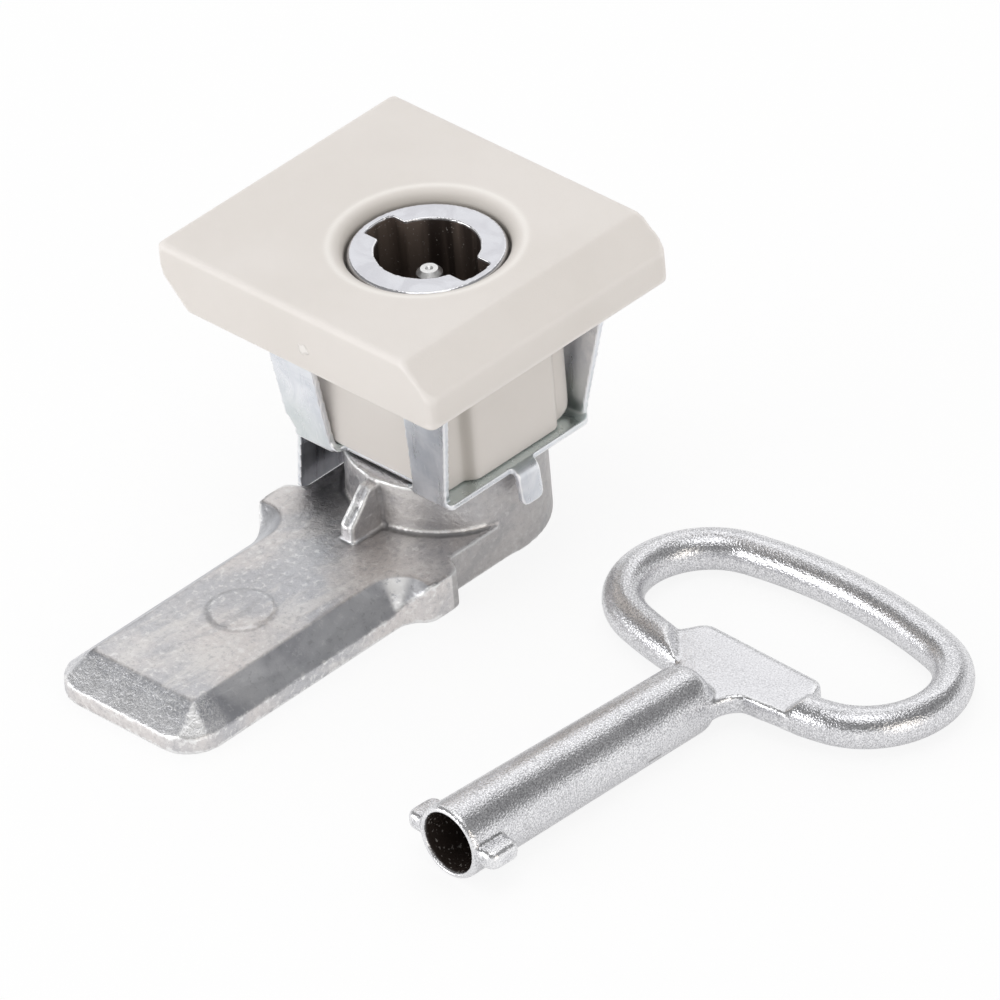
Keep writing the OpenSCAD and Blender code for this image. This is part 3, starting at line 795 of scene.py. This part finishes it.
def hub_marks(mesh, normal, x, y, z):
    from_axis, rise = np.hypot(x, y), z - FLAT_Z
    # The bead is painted: a painted highlight on its crest and painted shade in the crease below.
    root = (np.abs(from_axis - HUB_R - 0.1) < 0.45) * (y < BEAD_TO_Y) * (np.abs(x) > RIB_X)
    bead, crease = root * bump_at(rise, 0.55, 0.2), root * bump_at(rise, 0.1, 0.15)
    # Painted highlight on the hub beside the rib.
    lit_hub = ramp(-normal[:, 1], 0.55, 0.3) * bump_at(x, 3.4, 3)
    lit_hub *= (rise > 0.3) * (y > -12.2) * (0.6 + 0.4 * (rise > UNDER_RIM))
    store(mesh, "pale", np.maximum(lit_hub, bead))
    # Painted shade on the walls that face right.
    upright = 1 - ramp(np.abs(normal[:, 2]), 0.3, 0.2)
    to_right = np.clip(normal[:, 0] * 0.9 + normal[:, 1] * 0.3, 0, 1)
    right_wall = upright * to_right * (from_axis < 19) * (1 - bead)
    # Painted shade on a patch of the flat beside the flap.
    flap_shade = bump_at(x, -7.6, 3.4) * bump_at(y, -13.2, 3.2) * (normal[:, 2] > 0.7)
    store(mesh, "shade", np.maximum(np.maximum(right_wall, flap_shade), crease))
    return bead


print("bead round the hub at radius", HUB_R, "mm")

# %% Cam casting
def cam_casting():
    piece = plain_copy("cam", "cam_casting")
    mesh = reskin(piece, "cam")
    place, normal, proud = proudness(mesh)
    x, y, z = place.T / MM
    cam_slopes(mesh, normal, x, y)
    bead = hub_marks(mesh, normal, x, y, z)
    # Creases above the slopes are marked as sunk, for painted shade.
    proud = np.where(sunk_crease(normal, x, y, z), -0.6 * np.abs(proud), proud)
    # The bead's crest is marked as proud, for a painted highlight.
    store(mesh, "edge", np.where(bead > 0.35, 0.5, proud))
    finished(piece, "cam")


cam_casting()

# %% [markdown]
# ## The spring clip
# The clip is punched and bent from thin sheet. A fine skin with only two rounds of smoothing
# keeps it crisp, but takes the razor edge off, and its edges get a painted highlight, except at the
# foot of the flap. The plating is greener on the base, and the inside of the flap gets painted shade.

# %% Clip
BASE_Z = -16.5
FLAP_X = -9


def clip_sheet():
    piece = plain_copy("spring_clip", "clip_sheet")
    mesh = reskin(piece, "spring_clip")
    place, normal, proud = proudness(mesh)
    x, y, z = place.T / MM
    # The foot of the flap gets no painted highlight.
    flap_foot = (x < FLAP_X) & (z < z.min() + 0.5)
    store(mesh, "edge", np.where(flap_foot, 0, proud))
    store(mesh, "base", ramp(normal[:, 2], 0.6, 0.3) * (np.abs(z - BASE_Z) < 0.6))
    # Painted shade on the inside of the flap, where it faces the hub.
    flap_inside = (x < FLAP_X) & (z < BASE_Z - 0.9) & (normal[:, 0] > 0.3)
    store(mesh, "shade", flap_inside.astype(float))
    finished(piece, "spring_clip")


clip_sheet()

# %% [markdown]
# ## The insert
# The insert gets the same soft edges, and a painted highlight on them shows as thin bright lines
# round the key hole. In the solid, the groove for the seal ring runs into the tips of the key hole.
# So the bottom of the groove is moved out first, a thin band closes it at the tips, and the seal ring
# gets a thinner bar.

# %% Insert
SEAL_Z = 1.5
GROOVE_R, SHALLOW_R = 7.55, 8.3
BAND_HALF = 1.2


def shallow_groove(mesh):
    moved = 0
    for point in mesh.vertices:
        across = math.hypot(point.co.x, point.co.y) / MM
        if abs(point.co.z / MM - SEAL_Z) < BAND_HALF and abs(across - GROOVE_R) < 0.1:
            point.co.x *= SHALLOW_R / across
            point.co.y *= SHALLOW_R / across
            moved += 1
    print("groove points moved:", moved)


def groove_band(steps=96):
    kit = bmesh.new()
    low, high = (SEAL_Z - BAND_HALF) * MM, (SEAL_Z + BAND_HALF) * MM
    inner, outer = NOTCH_R * MM, SHALLOW_R * MM
    corners = [(inner, low), (outer, low), (outer, high), (inner, high)]
    ring = [kit.verts.new((r, 0, z)) for r, z in corners]
    edges = [kit.edges.new((ring[i], ring[(i + 1) % 4])) for i in range(4)]
    spin = {"cent": (0, 0, 0), "axis": (0, 0, 1), "angle": 2 * math.pi, "steps": steps}
    bmesh.ops.spin(kit, geom=ring + edges, **spin)
    bmesh.ops.remove_doubles(kit, verts=kit.verts, dist=1e-6)
    bmesh.ops.recalc_face_normals(kit, faces=kit.faces)
    return kit


def chrome_insert():
    piece = plain_copy("key_insert", "chrome_insert")
    shallow_groove(piece.data)
    kit = groove_band()
    kit.from_mesh(piece.data)
    kit.to_mesh(piece.data)
    kit.free()
    mesh = reskin(piece, "key_insert")
    # Proud edges are marked for the painted highlight.
    mark_edges(mesh)
    finished(piece, "key_insert")


chrome_insert()

# %% [markdown]
# ## The key
# The key lies with its bow and the mouth of its barrel on the floor, so it is tilted by less than
# two degrees. It is built flat, round its own middle, and put in place at the end.

# %% Key sizes
KEY_LEN, BARREL_R, BARREL_R_BOW, BORE_R, BORE_DEEP = 52.5, 4.4, 4.05, 3.6, 16.0
BOW_BAR, BOW_A, BOW_B, BOW_END_R = 2.38, 21.7, 10.7, 9.2
BIT_X, BIT_LEN, BIT_T = 6.8, 4.4, 2.3
WEB_X, WEB_T = 9.9, 2.5
KEY_AT, KEY_TURN = (48.7, 3.2), math.radians(-1.2)
KEY_TILT = math.asin((BARREL_R - BOW_BAR) / (KEY_LEN + BOW_B))
KEY_Z = FLOOR_Z / MM + BOW_BAR + BOW_B * math.sin(KEY_TILT)
KEY_PLACE = (
    Matrix.Translation(Vector((*KEY_AT, KEY_Z)))
    @ Matrix.Rotation(KEY_TURN, 4, "Z")
    @ Matrix.Rotation(-KEY_TILT, 4, "X")
)
print("key tilt", round(math.degrees(KEY_TILT), 2), "degrees")

# %% [markdown]
# The bow is a round bar that follows an oval of four arcs. A path is a rule, so Geometry Nodes make
# it: the tree takes the path from the object and sweeps a circle of the bar's radius along it.

# %% Path of the bow
SIDE_STEPS, END_STEPS = 40, 28


def bow_path():
    end_x = BOW_A - BOW_END_R
    side_h = (end_x**2 - (BOW_B - BOW_END_R) ** 2) / (2 * (BOW_B - BOW_END_R))
    side_r = BOW_B + side_h
    half = math.atan2(end_x, side_h)
    points = []
    for s in (1, -1):
        for i in range(SIDE_STEPS):
            t = math.pi / 2 + half - 2 * half * i / SIDE_STEPS
            points.append((s * side_r * math.cos(t), s * (side_r * math.sin(t) - side_h), 0))
        for i in range(END_STEPS):
            t = math.pi / 2 - half - (math.pi - 2 * half) * i / END_STEPS
            points.append((s * (end_x + BOW_END_R * math.cos(t)), s * BOW_END_R * math.sin(t), 0))
    return points


print("bow path:", len(bow_path()), "points")


# %% Bar on a path
def sweep_tree():
    tree = bpy.data.node_groups.new("round_bar_on_path", "GeometryNodeTree")
    tree.interface.new_socket("Path", in_out="INPUT", socket_type="NodeSocketGeometry")
    tree.interface.new_socket("Bar Radius", in_out="INPUT", socket_type="NodeSocketFloat")
    tree.interface.new_socket("Bar Sides", in_out="INPUT", socket_type="NodeSocketInt")
    tree.interface.new_socket("Finish", in_out="INPUT", socket_type="NodeSocketMaterial")
    tree.interface.new_socket("Bar", in_out="OUTPUT", socket_type="NodeSocketGeometry")
    nodes, links = tree.nodes, tree.links
    given, result = nodes.new("NodeGroupInput"), nodes.new("NodeGroupOutput")
    curve = nodes.new("GeometryNodeMeshToCurve")
    ring = nodes.new("GeometryNodeCurvePrimitiveCircle")
    sweep = nodes.new("GeometryNodeCurveToMesh")
    real = nodes.new("GeometryNodeRealizeInstances")
    coat = nodes.new("GeometryNodeSetMaterial")
    links.new(given.outputs["Path"], curve.inputs["Mesh"])
    links.new(given.outputs["Bar Radius"], ring.inputs["Radius"])
    links.new(given.outputs["Bar Sides"], ring.inputs["Resolution"])
    links.new(curve.outputs["Curve"], sweep.inputs["Curve"])
    links.new(ring.outputs["Curve"], sweep.inputs["Profile Curve"])
    links.new(sweep.outputs["Mesh"], real.inputs["Geometry"])
    links.new(real.outputs["Geometry"], coat.inputs["Geometry"])
    links.new(given.outputs["Finish"], coat.inputs["Material"])
    links.new(coat.outputs["Geometry"], result.inputs["Bar"])
    return tree


def run_nodes(piece, tree, **values):
    maker = piece.modifiers.new(tree.name, "NODES")
    maker.node_group = tree
    for item in tree.interface.items_tree:
        if item.item_type == "SOCKET" and item.in_out == "INPUT" and item.name.replace(" ", "_") in values:
            maker[item.identifier] = values[item.name.replace(" ", "_")]
    return baked(piece)


SWEEP = sweep_tree()


def bar_on_path(name, points, radius, sides, finish):
    mesh = bpy.data.meshes.new(name)
    closed = [(i, (i + 1) % len(points)) for i in range(len(points))]
    mesh.from_pydata([Vector(p) * MM for p in points], closed, [])
    piece = in_scene(name, mesh)
    mesh = run_nodes(piece, SWEEP, Bar_Radius=radius * MM, Bar_Sides=sides, Finish=FINISH[finish])
    print(name, "has", len(mesh.polygons), "faces")
    return piece


bow = bar_on_path("key_bow", bow_path(), BOW_BAR, 40, "satin_chrome")

# %% [markdown]
# The barrel is a revolve with its bore in the profile, so that one outline gives the wall, the soft
# rim of the mouth and the rounded end in the bow.

# %% Barrel
END_ROUND = 2.4


def from_kit(name, kit):
    bmesh.ops.scale(kit, vec=(MM, MM, MM), verts=kit.verts)
    mesh = bpy.data.meshes.new(name)
    kit.to_mesh(mesh)
    kit.free()
    return in_scene(name, mesh)


def lathe(name, profile, steps=64):
    kit = bmesh.new()
    ring = [kit.verts.new((r, y, 0)) for r, y in profile]
    edges = [kit.edges.new((ring[i], ring[i + 1])) for i in range(len(ring) - 1)]
    spin = {"cent": (0, 0, 0), "axis": (0, 1, 0), "angle": 2 * math.pi, "steps": steps}
    bmesh.ops.spin(kit, geom=ring + edges, **spin)
    bmesh.ops.remove_doubles(kit, verts=kit.verts, dist=1e-4)
    bmesh.ops.recalc_face_normals(kit, faces=kit.faces)
    return from_kit(name, kit)


def key_barrel():
    mouth, end = -KEY_LEN, -BOW_B - 3.3
    bore_end = mouth + BORE_DEEP
    profile = [(0, bore_end), (BORE_R - 0.2, bore_end), (BORE_R, bore_end - 0.2)]
    profile += [(BORE_R, mouth + 0.25), (BORE_R + 0.2, mouth)]
    profile += [(BARREL_R - 0.4, mouth), (BARREL_R, mouth + 0.45)]
    for i in range(7):
        t = math.radians(15 * i)
        profile.append((BARREL_R_BOW - END_ROUND * (1 - math.cos(t)), end + END_ROUND * (math.sin(t) - 1)))
    return lathe("key_barrel", profile + [(0, end)])


barrel = key_barrel()
print("barrel:", len(barrel.data.polygons), "faces")

# %% [markdown]
# Web and bits are flat outlines given a thickness and soft rims. A corner of an outline is its place
# and its rounding. The web has a long rounding on its left shoulder and a tight one on the right,
# and hollow roots where it runs into the barrel.

# %% Web and bits
WEB_TOP, WEB_LOW, WEB_FOOT = -BOW_B + 5.9, -BOW_B - 1.5, -19.0
WEB_OUTLINE = [
    (3.6, WEB_FOOT, 0), (4.7, WEB_LOW, 3.2), (WEB_X + 2.2, WEB_LOW, 0.6),
    (WEB_X + 1.5, WEB_TOP - 2.6, 0.8), (WEB_X + 0.3, WEB_TOP, 1.7), (-WEB_X + 2.5, WEB_TOP, 2.2),
    (-WEB_X + 0.6, WEB_TOP - 3.4, 0.8), (-4.7, WEB_LOW, 1.6), (-3.6, WEB_FOOT, 0),
]
WEB_SOFT, BIT_SOFT, BIT_ROUND = 0.9, 0.75, 1.1


def rounded(corners, steps=6):
    out = []
    for i, (x, y, r) in enumerate(corners):
        b = Vector((x, y))
        if not r:
            out.append(b)
            continue
        u = (Vector(corners[i - 1][:2]) - b).normalized()
        v = (Vector(corners[(i + 1) % len(corners)][:2]) - b).normalized()
        half = u.angle(v) / 2
        centre = b + (u + v).normalized() * r / math.sin(half)
        start, end = b + u * r / math.tan(half) - centre, b + v * r / math.tan(half) - centre
        for k in range(steps + 1):
            out.append(centre + start.slerp(end, k / steps) * r)
    return out


def plate(name, outline, thick, soft):
    kit = bmesh.new()
    face = kit.faces.new([kit.verts.new((p[0], p[1], -thick / 2)) for p in outline])
    lift = bmesh.ops.extrude_face_region(kit, geom=[face])["geom"]
    lifted = [v for v in lift if isinstance(v, bmesh.types.BMVert)]
    bmesh.ops.translate(kit, vec=(0, 0, thick), verts=lifted)
    bmesh.ops.recalc_face_normals(kit, faces=kit.faces)
    rims = [e for e in kit.edges if abs(e.verts[0].co.z - e.verts[1].co.z) < 1e-6]
    shape = {"segments": 4, "profile": 0.5, "affect": "EDGES", "clamp_overlap": True}
    bmesh.ops.bevel(kit, geom=rims, offset=soft, **shape)
    return from_kit(name, kit)


def key_bit(side):
    inner, outer = side * (BORE_R + 0.3), side * BIT_X
    front = -KEY_LEN + 0.35
    back = front + BIT_LEN
    outline = [(inner, front, 0), (outer, front, BIT_ROUND), (outer, back, BIT_ROUND), (inner, back, 0)]
    return plate("key_bit", rounded(outline), BIT_T, BIT_SOFT)


web = plate("key_web", rounded(WEB_OUTLINE), WEB_T, WEB_SOFT)
bits = [key_bit(1), key_bit(-1)]
print("web:", len(web.data.polygons), "faces")

# %% [markdown]
# The web is thinner than the bow's bar, so the bar is carved down to it with two wedges, one above
# and one below. The wedges' slanted ends make the necks that are seen on both sides of the web.

# %% Necks
NECK_LEFT, NECK_RIGHT = [(-11.4, -6), (-0.9, -16)], [(11.4, -16), (11.0, -6)]
SLANT_LEFT, SLANT_RIGHT = (-2, -1.4), (2.4, 0)
WEDGE_TOP = 4


def neck_wedge(up):
    slants = [SLANT_LEFT] * 2 + [SLANT_RIGHT] * 2
    corners = NECK_LEFT + NECK_RIGHT
    kit = bmesh.new()
    near = [kit.verts.new((*p, up * WEB_T / 2)) for p in corners]
    far = [kit.verts.new((p[0] + q[0], p[1] + q[1], up * WEDGE_TOP)) for p, q in zip(corners, slants)]
    kit.faces.new(near)
    kit.faces.new(far)
    for i in range(4):
        kit.faces.new((near[i], near[(i + 1) % 4], far[(i + 1) % 4], far[i]))
    bmesh.ops.recalc_face_normals(kit, faces=kit.faces)
    return from_kit("neck_wedge", kit)


def carve_necks(bar):
    for up in (1, -1):
        wedge = neck_wedge(up)
        cut = bar.modifiers.new("neck", "BOOLEAN")
        cut.operation, cut.object, cut.solver = "DIFFERENCE", wedge, "EXACT"
        baked(bar)
        bpy.data.objects.remove(wedge)
    print("bow after both necks:", len(bar.data.polygons), "faces")


carve_necks(bow)

# %% [markdown]
# All parts overlap, so one skin over them fuses them into a single casting with soft fillets,
# as the mould does. The bore is marked point by point, because it stays dark: little plating
# and no light get in there. So are the flat of the web, which is calmer than the round bars, and
# one small nick on the barrel's side.

# %% Marks on the key
NICK_Y, NICK_TURN, NICK_LEN, NICK_WIDE = -24.5, math.radians(-23), 2.0, 0.15


def key_marks(mesh):
    place, normal = mark_edges(mesh)
    x, y, z = place.T / MM
    across = np.hypot(x, z)
    inward = -(normal[:, 0] * x + normal[:, 2] * z) / across.clip(0.001)
    in_bore = (across < BORE_R + 0.1) & (y < -KEY_LEN + BORE_DEEP + 0.3)
    bore_wall = (inward > 0.2) | (across < BORE_R - 0.4)
    store(mesh, "hollow", in_bore * ramp(y + KEY_LEN, 0.25, 0.25) * bore_wall)
    on_web = (y > -BOW_B - 5) & (y < -BOW_B + 6.5)
    on_web &= (np.abs(x) < WEB_X + 1.6) & (np.abs(z) < WEB_T / 2 + 0.15)
    store(mesh, "calm", on_web * ramp(np.abs(normal[:, 2]), 0.8, 0.15))
    around = (np.arctan2(z, x) - NICK_TURN) * across
    on_nick = (np.abs(y - NICK_Y) < NICK_LEN / 2) & (x > 0)
    store(mesh, "nick", bump_at(around, 0, NICK_WIDE) * on_nick)
    print("points in the bore:", int(in_bore.sum()))


print("nick", NICK_LEN, "mm long")

# %% Key casting
def joined(name, pieces):
    kit = bmesh.new()
    for piece in pieces:
        kit.from_mesh(piece.data)
        bpy.data.objects.remove(piece)
    mesh = bpy.data.meshes.new(name)
    kit.to_mesh(mesh)
    kit.free()
    return in_scene(name, mesh)


def key_casting():
    piece = joined("key_casting", [bow, barrel, web, *bits])
    mesh = reskin(piece, "key")
    key_marks(mesh)
    mesh.transform(Matrix.Scale(MM, 4) @ KEY_PLACE @ Matrix.Scale(1 / MM, 4))
    finished(piece, "key")


key_casting()

# %% [markdown]
# ## The seal ring
# The ring in the insert's groove is a round bar on a circle, so the tree that made the bow makes
# it too.

# %% Seal ring
SEAL_BAR, SEAL_R, SEAL_STEPS = 0.36, 8.68, 96


def seal_ring():
    turns = [2 * math.pi * i / SEAL_STEPS for i in range(SEAL_STEPS)]
    circle = [(SEAL_R * math.cos(t), SEAL_R * math.sin(t), SEAL_Z) for t in turns]
    finished(bar_on_path("seal_ring", circle, SEAL_BAR, 16, "seal_rubber"), "insert_seal")


seal_ring()
